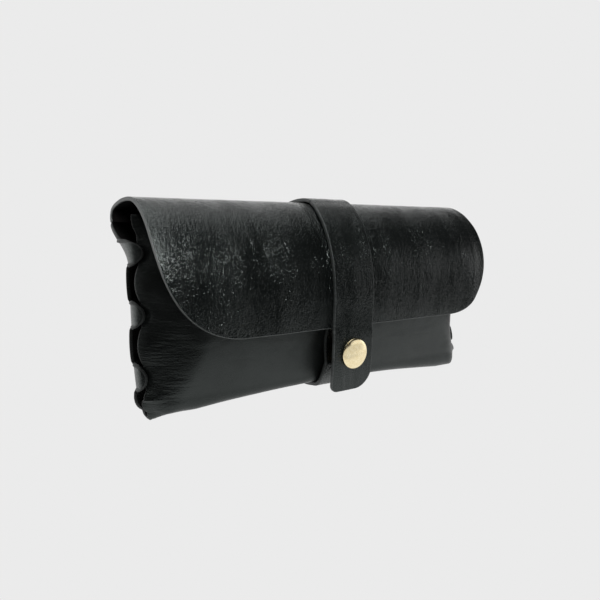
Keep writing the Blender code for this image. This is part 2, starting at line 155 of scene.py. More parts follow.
# ---- heights of the leather's waves, in mm ----
PUCKER_TUCKS = 0.16
PUCKER_SLACK = 0.07
PUCKER_WAVES = 0.10
FLAP_WRINKLES = 0.055
FLAP_WAVES = 0.22
FLAP_FOLDS = 0.08
STRAP_WRINKLES = (0.06, 0.04)
STRAP_WAVES = 0.09
STRAP_SEED = 40
FLAP_PRESSED = 0.12  # the strap presses the flap in this much
FLAP_FLATTENED = 0.85  # and takes this share of its waves away
BACK_PRESSED = 0.06  # and presses the pouch in this much

# ---- mesh sizes ----
STEP = 0.65 * MM  # size of a face of the flap and the strap
ROW_STEP = 0.85 * MM  # height of a face of the pouch
COLUMN_STEP = 1.2 * MM  # and its length along the case
COLUMN_BREAK = 74 * MM  # as far out as here, and then in so many columns to the seam and on it
OUTER_COLUMNS = 12
SEAM_COLUMNS = 14
TAB_STEP = 0.38 * MM
TAB_INSET = 0.12 * MM  # rows between the tabs end this far from them
TAB_LAID_POINTS = 40
TAB_TURN_POINTS = 24
SNAP_STEPS = 96
DOME_STEPS = 24
KNOB_STEPS = 10
RIM_ROUND = 0.42 * MM
RIM_RINGS = 5


# ---- curves and noise ----
def ease(low, high, value):
    """0 at low and 1 at high, smoothly."""
    share = np.clip((value - low) / (high - low), 0.0, 1.0)
    return share * share * (3 - 2 * share)


def through(points, t):
    """The smooth curve through (t, value) points, at every t of an array."""
    knots = np.array([p[0] for p in points], float)
    values = np.array([p[1] for p in points], float)
    slopes = np.empty_like(values)
    slopes[1:-1] = (values[2:] - values[:-2]) / (knots[2:] - knots[:-2])
    slopes[0] = (values[1] - values[0]) / (knots[1] - knots[0])
    slopes[-1] = (values[-1] - values[-2]) / (knots[-1] - knots[-2])
    t = np.clip(t, knots[0], knots[-1])
    k = np.clip(np.searchsorted(knots, t, side="right") - 1, 0, len(knots) - 2)
    span = knots[k + 1] - knots[k]
    s = (t - knots[k]) / span
    return ((2 * s**3 - 3 * s**2 + 1) * values[k] + (s**3 - 2 * s**2 + s) * span * slopes[k]
            + (3 * s**2 - 2 * s**3) * values[k + 1] + (s**3 - s**2) * span * slopes[k + 1])


def lengths(line):
    """Distance along a line of 2-D or 3-D points, at each of them."""
    steps = np.linalg.norm(np.diff(line, axis=0), axis=1)
    return np.concatenate([[0.0], np.cumsum(steps)])


def smooth_line(points, count=800):
    points = np.array(points, float)
    reached = lengths(points)
    t = np.linspace(0, reached[-1], count)
    return np.stack([through(list(zip(reached, points[:, k])), t) for k in range(points.shape[1])], axis=1)


def at_distances(line, distances):
    reached = lengths(line)
    return np.stack([np.interp(distances, reached, line[:, k]) for k in range(line.shape[1])], axis=1)


def unit(vectors):
    return vectors / np.maximum(np.linalg.norm(vectors, axis=1), 1e-15)[:, None]


def offset_line(line, distance):
    """A 2-D line moved sideways, to the right of its own direction."""
    ahead = unit(np.gradient(line, axis=0))
    return line + np.stack([ahead[:, 1], -ahead[:, 0]], axis=1) * distance


def noise(seed, u, v):
    """Smooth noise over a plane, from -1 to 1, with one random value a unit."""
    cells = 97
    table = np.random.default_rng(seed).uniform(-1, 1, (cells, cells))
    i, j = np.floor(u).astype(int), np.floor(v).astype(int)
    a, b = u - i, v - j
    a, b = a * a * (3 - 2 * a), b * b * (3 - 2 * b)
    i0, j0, i1, j1 = i % cells, j % cells, (i + 1) % cells, (j + 1) % cells
    return ((table[i0, j0] * (1 - a) + table[i1, j0] * a) * (1 - b)
            + (table[i0, j1] * (1 - a) + table[i1, j1] * a) * b)


def creases(seed, u, v, sharpness):
    """Narrow grooves where noise passes zero, 0 between them and 1 at their bottoms."""
    return (1 - np.abs(noise(seed, u, v))) ** sharpness


# ---- sheets of leather ----
def vertex_normals(points, quads):
    a, b, c, d = (points[quads[:, k]] for k in range(4))
    face = np.cross(c - a, d - b)
    out = np.zeros_like(points)
    for k in range(4):
        np.add.at(out, quads[:, k], face)
    return unit(out)


def boundary(quads):
    """The sheet's free edges, each in the direction its face runs."""
    edges = np.concatenate([quads[:, [k, (k + 1) % 4]] for k in range(4)])
    count = int(edges.max()) + 1
    forward = edges[:, 0].astype(np.int64) * count + edges[:, 1]
    backward = edges[:, 1].astype(np.int64) * count + edges[:, 0]
    return edges[~np.isin(forward, backward)]


def leather_sheet(name, grid, sheet, looks, relief, butts, hole=None):
    """A piece of leather, from a grid of points on its middle surface. sheet is each point's place on the
    flat sheet and relief how far its grain side is moved out. butts says whether the first and last row
    meet the next piece face to face, and hole is the (depth, radius) of a round hole."""
    rows, width = grid.shape[:2]
    points, sheet, relief = grid.reshape(-1, 3), sheet.reshape(-1, 3), relief.ravel()
    quads = grid_quads(rows, width)[:, ::-1]
    if hole:
        quads = cut_hole(points, quads, *hole)
    butt = np.zeros((rows, width), bool)
    butt[0], butt[-1] = butts
    quads = quads[[len(set(q)) == 4 for q in quads.tolist()]]
    used = np.unique(quads)
    renumber = np.zeros(len(points), int)
    renumber[used] = np.arange(len(used))
    quads = renumber[quads]
    points, sheet, relief, butt = points[used], sheet[used], relief[used], butt.ravel()[used]
    normals = vertex_normals(points, quads)
    free = boundary(quads)
    out = np.zeros_like(points)
    along = points[free[:, 1]] - points[free[:, 0]]
    side = unit(np.cross(along, normals[free[:, 0]]))
    np.add.at(out, free[:, 0], side)
    np.add.at(out, free[:, 1], side)
    out = unit(out)
    out[butt] = 0.0

    count = len(points)
    grain = points + normals * (HALF + relief)[:, None]
    flesh = points + normals * (relief - HALF)[:, None]
    rim = np.unique(free)
    ring_of = np.full(count, -1)
    ring_of[rim] = np.arange(len(rim))
    rings = []
    for k in range(1, RIM_RINGS):
        angle = math.pi * k / RIM_RINGS
        across = math.sin(angle) ** 0.6
        up = math.copysign(abs(math.cos(angle)) ** 0.75, math.cos(angle))
        rings.append(points[rim] + out[rim] * RIM_ROUND * across
                     + normals[rim] * (relief[rim] + HALF * up)[:, None])
    vertices = np.concatenate([grain, flesh, *rings])
    faces = [quads, quads[:, ::-1] + count]
    start, end = ring_of[free[:, 0]], ring_of[free[:, 1]]
    levels = [(free[:, 0], free[:, 1])]
    for k in range(RIM_RINGS - 1):
        first = 2 * count + k * len(rim)
        levels.append((start + first, end + first))
    levels += [(free[:, 0] + count, free[:, 1] + count)]
    for (a0, a1), (b0, b1) in zip(levels, levels[1:]):
        faces.append(np.stack([a1, a0, b0, b1], axis=1))
    rim_faces = len(free) * RIM_RINGS
    slots = np.concatenate([np.zeros(len(quads), int), np.ones(len(quads), int), np.full(rim_faces, 2)])
    flat = np.concatenate([sheet, sheet] + [sheet[rim]] * (RIM_RINGS - 1))
    return make_object(name, vertices, np.concatenate(faces).tolist(), looks, slots, flat, sharp=50)


def make_object(name, vertices, faces, looks, slots=None, flat=None, sharp=35):
    mesh = bpy.data.meshes.new(name)
    mesh.from_pydata(vertices.tolist(), [], faces)
    for look in looks:
        mesh.materials.append(look)
    if slots is not None:
        mesh.polygons.foreach_set("material_index", slots.astype(np.int32))
    if flat is not None:
        place = mesh.attributes.new("sheet", "FLOAT_VECTOR", "POINT")
        place.data.foreach_set("vector", np.ascontiguousarray(flat, dtype=np.float32).ravel())
    mesh.shade_smooth()
    mesh.set_sharp_from_angle(angle=math.radians(sharp))
    return in_scene(name, mesh)


def in_scene(name, data):
    made = bpy.data.objects.new(name, data)
    bpy.context.scene.collection.objects.link(made)
    return made


def grid_quads(rows, columns):
    index = np.arange(rows * columns).reshape(rows, columns)
    corners = [index[:-1, :-1], index[:-1, 1:], index[1:, 1:], index[1:, :-1]]
    return np.stack(corners, axis=-1).reshape(-1, 4)


def cut_hole(points, quads, depth, radius):
    """The faces outside a round hole on the snap's axis. The points on its edge are moved onto it."""
    middle = points[quads].mean(axis=1)
    away = np.hypot(middle[:, 0], middle[:, 2] - SNAP_HEIGHT)
    quads = quads[~((away < radius) & (np.abs(middle[:, 1] - depth) < HOLE_DEPTH))]
    axis = np.array([0, SNAP_HEIGHT])
    from_axis = points[:, [0, 2]] - axis
    reach = np.linalg.norm(from_axis, axis=1)
    near = (np.abs(reach - radius) < 0.75 * STEP) & (np.abs(points[:, 1] - depth) < HOLE_DEPTH)
    edge = np.zeros(len(points), bool)
    edge[np.unique(boundary(quads))] = True
    snap = near & edge
    points[snap, 0::2] = from_axis[snap] / reach[snap][:, None] * (radius + RIM_ROUND) + axis
    return quads


def between(left, right, count):
    """Rows of count places along x, between two edges given as distances from the middle."""
    return -left[:, None] + (left + right)[:, None] * np.linspace(0, 1, count)[None, :]


def standing(x, section):
    """The points at x in each row, whose depth and height are the section's."""
    y, z = (np.broadcast_to(section[:, k:k + 1], x.shape) for k in (0, 1))
    return np.stack([x, y, z], axis=-1)


# ---- pouch ----
def flare(x, z):
    length = FOLD_FLARE_LENGTH + (FLARE_LENGTH - FOLD_FLARE_LENGTH) * ease(0.0, FULL_FLARE_HEIGHT, z)
    return np.sin(np.clip((HALF_LENGTH - np.abs(x)) / length, 0.0, 1.0) * math.pi / 2)


def seam_y(z):
    return SEAM_FOOT + (SEAM_DEPTH - SEAM_FOOT) * ease(0.0, SEAM_EASE, z)


def from_tab(z):
    """Height from the middle of the nearest tab."""
    offsets = np.stack([z - tab for tab in TAB_HEIGHTS])
    nearest = np.argmin(np.abs(offsets), axis=0)
    return np.take_along_axis(offsets, nearest[None], axis=0)[0]


def lens(z):
    """0 at the tabs and the bottom corner, 1 midway between them and at the mouth."""
    ends = [(CORNER_HEIGHT / 2, TAB_HEIGHTS[0] - TAB_HALF_HEIGHT)]
    for low, high in zip(TAB_HEIGHTS, TAB_HEIGHTS[1:]):
        ends.append((low + TAB_HALF_HEIGHT, high - TAB_HALF_HEIGHT))
    total = ease(TAB_HEIGHTS[-1] + TAB_HALF_HEIGHT, MOUTH_HEIGHT - MOUTH_EASE, z)
    for low, high in ends:
        total = total + np.sin(np.clip((z - low) / (high - low), 0, 1) * math.pi) ** 0.7
    return total


def seam_bulge(x, z):
    """How far the seam springs open between its tabs, most just inside its edge, as a share."""
    inward = HALF_LENGTH - np.abs(x)
    rolled = 1 - ROLLED_BACK * np.clip(1 - inward / LIP, 0, 1) ** 2
    return lens(z) * ease(BULGE_START, LIP, inward) * rolled


def seam_half_gap(z):
    return SEAM_HALF_GAP + CORNER_OPENING * (1 - ease(0.0, CORNER_EASE, z))


def corner_cut(z):
    return CORNER_CUT * np.maximum(0.0, 1 - z / CORNER_HEIGHT) ** 2


def edge_x(z, front=1.0):
    """Where the front panel's side edge is: out in a shallow arc between the tabs, set back under them.
    front falls to 0 round the bottom fold, where the back panel's edge takes over."""
    free = np.maximum(lens(z), ease(CORNER_HEIGHT, 0, z))
    arc_out = (EDGE_BULGE - EDGE_SET * front) * lens(z)
    return HALF_LENGTH - RIM_ROUND + arc_out - EDGE_TUCK * (1 - free) - corner_cut(z)


def under_tab(x, z):
    """1 on the part of the front panel that a tab presses on, 0 away from it."""
    inward = np.maximum(HALF_LENGTH - np.abs(x), 0.0)
    tab = np.argmin(np.abs(np.stack([z - height for height in TAB_HEIGHTS])), axis=0)
    reach = SEAM_START + DENT_PAST + np.array(TAB_REACH)[tab]
    return ease(*DENT_FADE, np.hypot(from_tab(z) / TAB_HALF_HEIGHT, inward / reach))


def front_point(x, z):
    full = through(FRONT_PROFILE, z / MM) * MM
    pinched = seam_y(z) - seam_half_gap(z) - FRONT_BULGE * seam_bulge(x, z) + TAB_DENT * under_tab(x, z)
    share = flare(x, z)
    lift = CORNER_PEAK * (1 - share) * ease(PEAK_START, MOUTH_HEIGHT, z)
    return np.stack(np.broadcast_arrays(x, pinched + (full - pinched) * share, z + lift), axis=-1)


def back_point(x, z):
    full = through(BACK_PROFILE, z / MM) * MM
    pinched = seam_y(z) + seam_half_gap(z) + BACK_BULGE * seam_bulge(x, z)
    share = flare(x, z)
    share = share + (1 - share) * ease(*ROLL_FLARE, z)
    return np.stack(np.broadcast_arrays(x, pinched + (full - pinched) * share, z), axis=-1)


def fold_point(x, side, shape):
    base = HALF + ARCH_RISE * np.maximum(0.0, 1 - (x / ARCH_HALF_LENGTH) ** 2)
    inward = np.clip((HALF_LENGTH - np.abs(x)) / FOOT_END, 0, 1)
    base = base + (FOOT_RISE - FOOT_LEAN * x / HALF_LENGTH) * (1 - (1 - inward) ** 2)
    z = base + (FOLD_TOP - base) * shape[1]
    share = flare(x, z)
    pinched = seam_half_gap(z)
    half_width = pinched + (FOLD_HALF_WIDTH - pinched) * share
    low = FOLD_DEPTH * share + SEAM_FOOT * (1 - share)
    middle = low * (1 - shape[1]) + seam_y(z) * (1 - share) * shape[1]
    return np.stack(np.broadcast_arrays(x, middle + side * half_width * shape[0], z), axis=-1)


def fold_rows(x, count):
    """Rows of points round the bottom fold, between the two panels."""
    stations = [front_point(x, np.full_like(x, z)) for z in NEAR_FOLD]
    stations += [fold_point(x, side, shape) for side, shape in WHOLE_FOLD]
    stations += [back_point(x, np.full_like(x, z)) for z in reversed(NEAR_FOLD)]
    stations = np.stack(stations)
    rows = np.empty((count, len(x), 3))
    for j in range(len(x)):
        column = stations[:, j]
        reached = lengths(column)
        t = np.linspace(reached[2], reached[-3], count + 2)[1:-1]
        rows[:, j, 0] = x[j]
        rows[:, j, 1] = through(list(zip(reached, column[:, 1])), t)
        base = column[:, 2].min()
        rows[:, j, 2] = np.maximum(through(list(zip(reached, column[:, 2])), t), base)
    return rows


def panel_heights():
    """Row heights, finer at the tabs and spaced round their ends."""
    marks = [FOLD_TOP]
    for tab in TAB_HEIGHTS:
        marks += [tab - TAB_HALF_HEIGHT, tab + TAB_HALF_HEIGHT]
    marks.append(MOUTH_HEIGHT)
    rows = []
    for k, (low, high) in enumerate(zip(marks, marks[1:])):
        if k % 2:
            turns = np.linspace(0, math.pi, 2 * round((high - low) / 2 / TAB_STEP) + 1)
            rows += list((low + high) / 2 - (high - low) / 2 * np.cos(turns))
        else:
            low = low + (TAB_INSET if k else 0)
            high = high - (TAB_INSET if k < len(marks) - 2 else 0)
            rows += list(np.linspace(low, high, max(2, round((high - low) / ROW_STEP) + 1)))
    return np.array(rows)


def half_columns(limit):
    """Places along x from the middle to limit, the last ones close together for the seam's edge."""
    inner = np.linspace(0, COLUMN_BREAK, round(COLUMN_BREAK / COLUMN_STEP) + 1)
    start = limit - SEAM_START
    outer = np.linspace(COLUMN_BREAK, start, OUTER_COLUMNS + 1)
    seam = start + SEAM_START * np.arange(1, SEAM_COLUMNS + 1) / SEAM_COLUMNS
    return np.concatenate([inner, outer[1:], seam])


def both_sides(half):
    return np.concatenate([-half[:0:-1], half])


def tab_line(z):
    """A tab's middle surface at one height, in plan, from the back panel over the seam and in on the
    front; and the length of its turn."""
    start = back_point(HALF_LENGTH - SEAM_START - np.array([HEADING_STEP, 0.0]), np.full(2, z))[:, :2]
    heading = (start[1] - start[0]) / np.linalg.norm(start[1] - start[0])
    x = HALF_LENGTH - SEAM_START - TAB_LAND - np.linspace(0, TAB_LAID, TAB_LAID_POINTS)
    front = front_point(x, np.full_like(x, z))[:, :2]
    ahead = unit(np.gradient(front, axis=0))
    laid = front + np.stack([-ahead[:, 1], ahead[:, 0]], axis=1) * TAB_LIFT
    reach = TAB_TURN * np.linalg.norm(laid[0] - start[1])
    t = np.linspace(0, 1, TAB_TURN_POINTS)[:, None]
    controls = [start[1], start[1] + heading * reach, laid[0] - ahead[0] * reach, laid[0]]
    weights = [(1 - t)**3, 3 * t * (1 - t)**2, 3 * t * t * (1 - t), t**3]
    turn = sum(weight * control for weight, control in zip(weights, controls))
    return np.concatenate([turn, laid[1:]]), lengths(turn)[-1]


def back_edge(z):
    """The last points of a row of the back panel, out to its free edge or to the end of its tab."""
    free = SEAM_START - RIM_ROUND + EDGE_BULGE * float(lens(np.array(z))) - float(corner_cut(z))
    row = abs(float(from_tab(np.array([z]))[0]))
    tab = int(np.argmin([abs(z - height) for height in TAB_HEIGHTS]))
    line, turn = tab_line(z)
    out = math.sqrt(max(0.0, 1 - (row / TAB_HALF_HEIGHT) ** 2))
    end = free + (turn + TAB_REACH[tab] - free) * out
    along = end * np.arange(1, SEAM_COLUMNS + 1) / SEAM_COLUMNS
    plain = back_point(HALF_LENGTH - SEAM_START + along, np.full_like(along, z))[:, :2]
    wrapped = at_distances(line, along)
    outside, inside = TAB_SHOULDER
    share = float(ease(TAB_HALF_HEIGHT + outside, TAB_HALF_HEIGHT - inside, row))
    place = plain + (wrapped - plain) * share
    return np.concatenate([place, np.full((SEAM_COLUMNS, 1), z)], axis=1), along


def puckers(x, z):
    """Fine wrinkles that run in from the side seams, and slack ones across the panels."""
    inward = HALF_LENGTH - np.abs(x)
    near = ease(24 * MM, 4 * MM, inward) * ease(1.0 * MM, 4 * MM, inward)
    u, v = x / MM, z / MM
    tucks = creases(11, v / 1.9 + 0.25 * noise(5, u / 6, v / 3), u / 9 + 40, 3) * near
    slack = creases(12, v / 3.1 + 0.5 * noise(6, u / 12, v / 6), u / 16 + 70, 4)
    slack = slack * ease(6 * MM, 20 * MM, inward) * ease(14 * MM, 26 * MM, z)
    broad = noise(13, u / 17, v / 12)
    waves = PUCKER_WAVES * broad * ease(0, BULGE_START, inward)
    return -(PUCKER_TUCKS * tucks + PUCKER_SLACK * slack + waves) * MM


def make_pouch(looks):
    heights = panel_heights()
    rows, spread = [], []  # spread is each point's place along x on the flat sheet
    for z in heights[::-1]:
        x = both_sides(half_columns(float(edge_x(np.array(z)))))
        rows.append(front_point(x, np.full_like(x, z)))
        spread.append(x)
    folded = fold_rows(both_sides(half_columns(HALF_LENGTH)), round(FOLD_ROUND / ROW_STEP))
    for row, front in zip(folded, np.linspace(1, 0, len(folded))):
        row[:, 0] = both_sides(half_columns(float(edge_x(row[:1, 2], front)[0])))
        rows.append(row)
        spread.append(row[:, 0])
    for z in heights:
        half = half_columns(HALF_LENGTH)[:-SEAM_COLUMNS]
        half_row = back_point(half, np.full_like(half, z))
        edge, along = back_edge(z)
        half_row = np.concatenate([half_row, edge])
        rows.append(np.concatenate([half_row[:0:-1] * np.array([-1, 1, 1]), half_row]))
        spread.append(both_sides(np.concatenate([half, HALF_LENGTH - SEAM_START + along])))
    grid = np.stack(rows)
    t = lengths(grid[:, grid.shape[1] // 2])
    t = t[-1] - t  # from the back of the roll down, round and up the front
    across = np.stack(spread)
    place = np.stack([across, np.broadcast_to(t[:, None], across.shape), np.zeros_like(across)], axis=-1)
    relief = puckers(across, grid[..., 2]) * ease(0, RELIEF_START / 2, t)[:, None]
    pressed = ease(STRAP_HALF_WIDTH + 4 * MM, STRAP_HALF_WIDTH + 1 * MM, np.abs(across))
    relief -= pressed * BACK_PRESSED * MM
    return leather_sheet("pouch_leather", grid, place, looks, relief, (False, True))


# ---- flap ----
def flap_relief(x, s, length):
    """Long wrinkles down the flap, broken by short ones, and flat under the strap."""
    u, v = x / MM, s / MM
    bend = 0.9 * noise(21, u / 9, v / 14)
    wrinkles = noise(22, u / 2.4 + bend, v / 11) + 0.7 * noise(23, u / 1.5 + bend, v / 5)
    patch = 0.35 + 0.65 * ease(-0.35, 0.45, noise(24, u / 13 + 3, v / 30))
    down = ease(20 * MM, 34 * MM, s) * ease(length, length - 9 * MM, s)
    relief = FLAP_WRINKLES * wrinkles * patch * down
    relief += FLAP_WAVES * noise(25, u / 11, v / 26) * ease(14 * MM, 40 * MM, s)
    relief += FLAP_FOLDS * noise(26, u / 4.5, v / 9) * down
    pressed = ease(STRAP_HALF_WIDTH + 6 * MM, STRAP_HALF_WIDTH, np.abs(x))
    return (relief * (1 - FLAP_FLATTENED * pressed) - FLAP_PRESSED * pressed) * MM


def make_flap(looks):
    line = smooth_line(np.array(FLAP_SECTION) * MM)
    length = lengths(line)[-1]
    tallest = max(corner[1] for corner in FLAP_CORNERS)
    straight = length - tallest
    s = np.linspace(0, straight, round(straight / STEP) + 1)
    turns = np.linspace(0, math.pi / 2, round(tallest * 1.25 / STEP) + 1)[1:]
    s = np.concatenate([s, straight + tallest * np.sin(turns)])
    sides = []
    for reach, height, power in FLAP_CORNERS:
        into = np.clip((s - length + height) / height, 0, 1)
        sides.append(HALF_LENGTH - RIM_ROUND - reach * (1 - (1 - into**power) ** (1 / power)))
    left, right = sides
    right = right + RIGHT_EXTRA * ease(*RIGHT_EASE, s)
    x = between(left, right, 2 * round(HALF_LENGTH / STEP) + 1)
    points = standing(x, at_distances(line, s))
    along = np.broadcast_to(s[:, None], x.shape)
    relief = flap_relief(x, along, length) * ease(0, RELIEF_START, along)
    curl = ease(CURL_WIDTH, 0.0, HALF_LENGTH - np.abs(x)) * ease(*CURL_DOWN, along)
    points[..., 1] += curl * CURL * MM
    sheet = np.stack([x, -along, np.zeros_like(x)], axis=-1)
    return leather_sheet("flap_leather", points, sheet, looks, relief, (True, False))


# ---- strap ----
def strap_line():
    """The strap's middle line in three stretches: from its stud end under the case and up behind it, over
    the roll, and down the front to the tongue's end."""
    zero = np.zeros(1)
    fold = [fold_point(zero, side, shape)[0, 1:] for side, shape in WHOLE_FOLD]
    back = [back_point(zero, np.full(1, z * MM))[0, 1:] for z in STRAP_BACK]
    under = offset_line(smooth_line(fold + back), STRAP_OFFSET + UNDER_EASE)
    under = under[(under[:, 0] > 0) | (under[:, 1] < UNDER_TURN)]
    stud_end = smooth_line(np.array(STUD_END) * MM)
    under = smooth_line(np.concatenate([stud_end[::80], under[::40], under[-1:]]))
    over = offset_line(smooth_line(np.array(FLAP_SECTION) * MM), STRAP_OFFSET)
    lead = smooth_line(np.array(TONGUE_END) * MM)
    crown = over[over[:, 0] >= TONGUE_SPLIT]
    tongue = over[(over[:, 0] < TONGUE_SPLIT) & (over[:, 1] > TONGUE_LEAVES)]
    tongue = smooth_line(np.concatenate([crown[-1:], tongue[::60], lead[::130]]))
    return under, crown, tongue


def strap_piece(name, line, start_s, looks, butts, ends=(0.0, 0.0), hole=None):
    """A stretch of the strap that starts start_s along it. ends are the corner radii of a free end, left
    and right."""
    length = lengths(line)[-1]
    radius = max(ends)
    straight = length - radius - (0 if butts[1] else RIM_ROUND)
    s = np.linspace(0 if butts[0] else RIM_ROUND, straight, round(straight / STEP) + 1)
    if radius:
        turns = np.linspace(0, math.pi / 2, round(radius * 1.6 / STEP) + 4)[1:]
        s = np.concatenate([s, straight + radius * np.sin(turns)])
    stray = through(STRAP_STRAY, (s + start_s - CROWN_END) / MM) * MM
    sides = []
    for corner in ends:
        into = np.clip((s - (straight + radius - corner)) / max(corner, 1e-9), 0, 1)
        sides.append(STRAP_HALF_WIDTH - RIM_ROUND - corner * (1 - np.sqrt(1 - into**2)))
    x = between(*sides, 2 * round(STRAP_HALF_WIDTH / (0.8 * STEP)) + 1)
    points = standing(x, at_distances(line, s))
    points[..., 0] += stray[:, None]
    down = np.broadcast_to(s[:, None], x.shape) + start_s
    u, v = x / MM, down / MM
    bend = 0.8 * noise(STRAP_SEED, u / 7, v / 12)
    long, short = STRAP_WRINKLES
    relief = long * noise(STRAP_SEED + 1, u / 2.1 + bend, v / 9)
    relief = relief + short * noise(STRAP_SEED + 2, u / 1.5, v / 4)
    relief = relief * ease(-0.4, 0.3, noise(STRAP_SEED + 3, u / 9, v / 22))
    relief = relief + STRAP_WAVES * noise(STRAP_SEED + 4, u / 6, v / 15)
    sheet = np.stack([x, -down, np.full_like(x, 0.05)], axis=-1)
    return leather_sheet(name, points, sheet, looks, relief * MM, butts, hole)


# ---- snap ----
def turned(name, profile, look, tilt):
    """A closed turned piece, leaning in by tilt. profile is a loop of (radius, depth along Y) in mm."""
    vertices, faces, loops = [], [], []
    for radius, y in profile:
        if radius == 0:
            loops.append([len(vertices)])
            vertices.append((0, y * MM, SNAP_HEIGHT))
            continue
        loops.append([len(vertices) + k for k in range(SNAP_STEPS)])
        for k in range(SNAP_STEPS):
            angle = 2 * math.pi * k / SNAP_STEPS
            height = SNAP_HEIGHT + radius * MM * math.sin(angle)
            vertices.append((radius * MM * math.cos(angle), y * MM, height))
    pairs = list(zip(loops, loops[1:]))
    if len(loops[0]) > 1:
        pairs.append((loops[-1], loops[0]))
    for a, b in pairs:
        for k in range(SNAP_STEPS):
            n = (k + 1) % SNAP_STEPS
            if len(a) == 1:
                faces.append((a[0], b[n], b[k]))
            elif len(b) == 1:
                faces.append((a[k], a[n], b[0]))
            else:
                faces.append((a[k], a[n], b[n], b[k]))
    pivot = np.array([0, TONGUE_Y, SNAP_HEIGHT])
    cosine, sine = math.cos(tilt), math.sin(tilt)
    turn = np.array([[1, 0, 0], [0, cosine, -sine], [0, sine, cosine]])
    places = (np.array(vertices) - pivot) @ turn.T + pivot
    made = make_object(name, places, faces, [look])
    outward = bmesh.new()
    outward.from_mesh(made.data)
    bmesh.ops.recalc_face_normals(outward, faces=outward.faces)
    outward.to_mesh(made.data)
    outward.free()
    return made


def arc(centre, radius, start, end, steps):
    """Points of an arc in (radius, depth) space, angles in degrees from the outward direction."""
    angles = np.radians(np.linspace(start, end, steps + 1))
    return [(centre[0] + radius * math.cos(a), centre[1] - radius * math.sin(a)) for a in angles]


def cap_profile():
    face = (TONGUE_Y - HALF - GAP) / MM
    dome = []
    for k in range(DOME_STEPS + 1):
        angle = math.pi / 2 * k / DOME_STEPS
        dome.append((6.15 * math.sin(angle), face - 0.75 - 0.95 * math.cos(angle) ** 1.4))
    dome[0] = (0, dome[0][1])
    bead = arc((5.93, face - 0.42), 0.34, 75, -60, 7)
    post = [(2.0, face), (2.0, -17.75), (1.4, -17.75), (1.4, face - 1.2), (0, face - 1.2)]
    return dome[:-2] + bead + [(5.9, face)] + post


def socket_profile():
    back = (TONGUE_Y + HALF + GAP) / MM
    return [(2.4, back), (5.6, back), (5.7, back + 0.2), (5.6, back + 0.5), (4.95, back + 0.8),
            (4.85, back + 1.6), (4.6, back + 1.85), (4.3, back + 1.9), (3.5, back + 1.9),
            (3.4, back + 1.8), (3.4, back + 1.5), (4.1, back + 1.4), (4.1, back + 0.4), (2.4, back + 0.4)]


def stud_profile():
    base = (UNDER_STRAP_Y - HALF - GAP) / MM
    angles = [math.pi / 2 * k / KNOB_STEPS for k in range(KNOB_STEPS + 1)]
    knob = [(2.4 * math.sin(angle), base - 0.5 - 1.6 * math.cos(angle)) for angle in angles]
    flange = [(4.85, base - 0.5), (5.05, base - 0.38), (5.1, base - 0.2), (4.9, base)]
    hollow = [(2.0, base), (2.0, base - 1.0), (1.2, base - 1.5), (0, base - 1.5)]
    return [(0, knob[0][1])] + knob[1:] + flange + hollow


# ---- materials ----
class Nodes:
    """The nodes of a material or world, each made and linked in one call."""

    def __init__(self, owner):
        owner.use_nodes = True
        self.owner, self.tree = owner, owner.node_tree

    def add(self, kind, inputs=None, **settings):
        node = self.tree.nodes.new(kind)
        for key, value in settings.items():
            setattr(node, key, value)
        for key, value in (inputs or {}).items():
            self.feed(node, key, value)
        return node

    def feed(self, node, key, value):
        if isinstance(value, bpy.types.NodeSocket):
            self.tree.links.new(value, node.inputs[key])
        else:
            node.inputs[key].default_value = value

    def math(self, operation, a, b=0.0):
        return self.add("ShaderNodeMath", {0: a, 1: b}, operation=operation).outputs[0]

    def times(self, *values):
        product = values[0]
        for value in values[1:]:
            product = self.math("MULTIPLY", product, value)
        return product

    def ramp(self, value, low, high, to_low=0.0, to_high=1.0):
        ends = {"Value": value, "From Min": low, "From Max": high, "To Min": to_low, "To Max": to_high}
        return self.add("ShaderNodeMapRange", ends, interpolation_type="SMOOTHSTEP").outputs["Result"]

    def mix(self, share, a, b):
        return self.add("ShaderNodeMix", {0: share, 6: a, 7: b}, data_type="RGBA").outputs[2]

    def parts(self, vector):
        return self.add("ShaderNodeSeparateXYZ", {0: vector}).outputs

    def vector_math(self, operation, a, b):
        return self.add("ShaderNodeVectorMath", {0: a, 1: b}, operation=operation).outputs

    def mapped(self, vector, scale, turn=(0, 0, 0)):
        settings = {"Vector": vector, "Scale": scale, "Rotation": turn}
        return self.add("ShaderNodeMapping", settings).outputs[0]

    def sheet(self, scale=(1, 1, 1)):
        """Places on the flat sheet, in mm times scale along each direction."""
        place = self.add("ShaderNodeAttribute", attribute_name="sheet").outputs["Vector"]
        return self.mapped(place, [1000 * s for s in scale])

    def noise(self, vector, scale, detail=2.0, rough=0.5):
        settings = {"Vector": vector, "Scale": scale, "Detail": detail, "Roughness": rough}
        return self.add("ShaderNodeTexNoise", settings).outputs["Fac"]

    def bump(self, height, distance, strength):
        heights = {"Height": height, "Distance": distance, "Strength": strength}
        return self.add("ShaderNodeBump", heights).outputs[0]

    def finish(self, **values):
        """Set the surface shader's inputs, and give back the material."""
        for key, value in values.items():
            self.feed(self.tree.nodes["Principled BSDF"], key.replace("_", " "), value)
        return self.owner


def tint(colour, share=1.0):
    return (*[share * part for part in colour], 1)


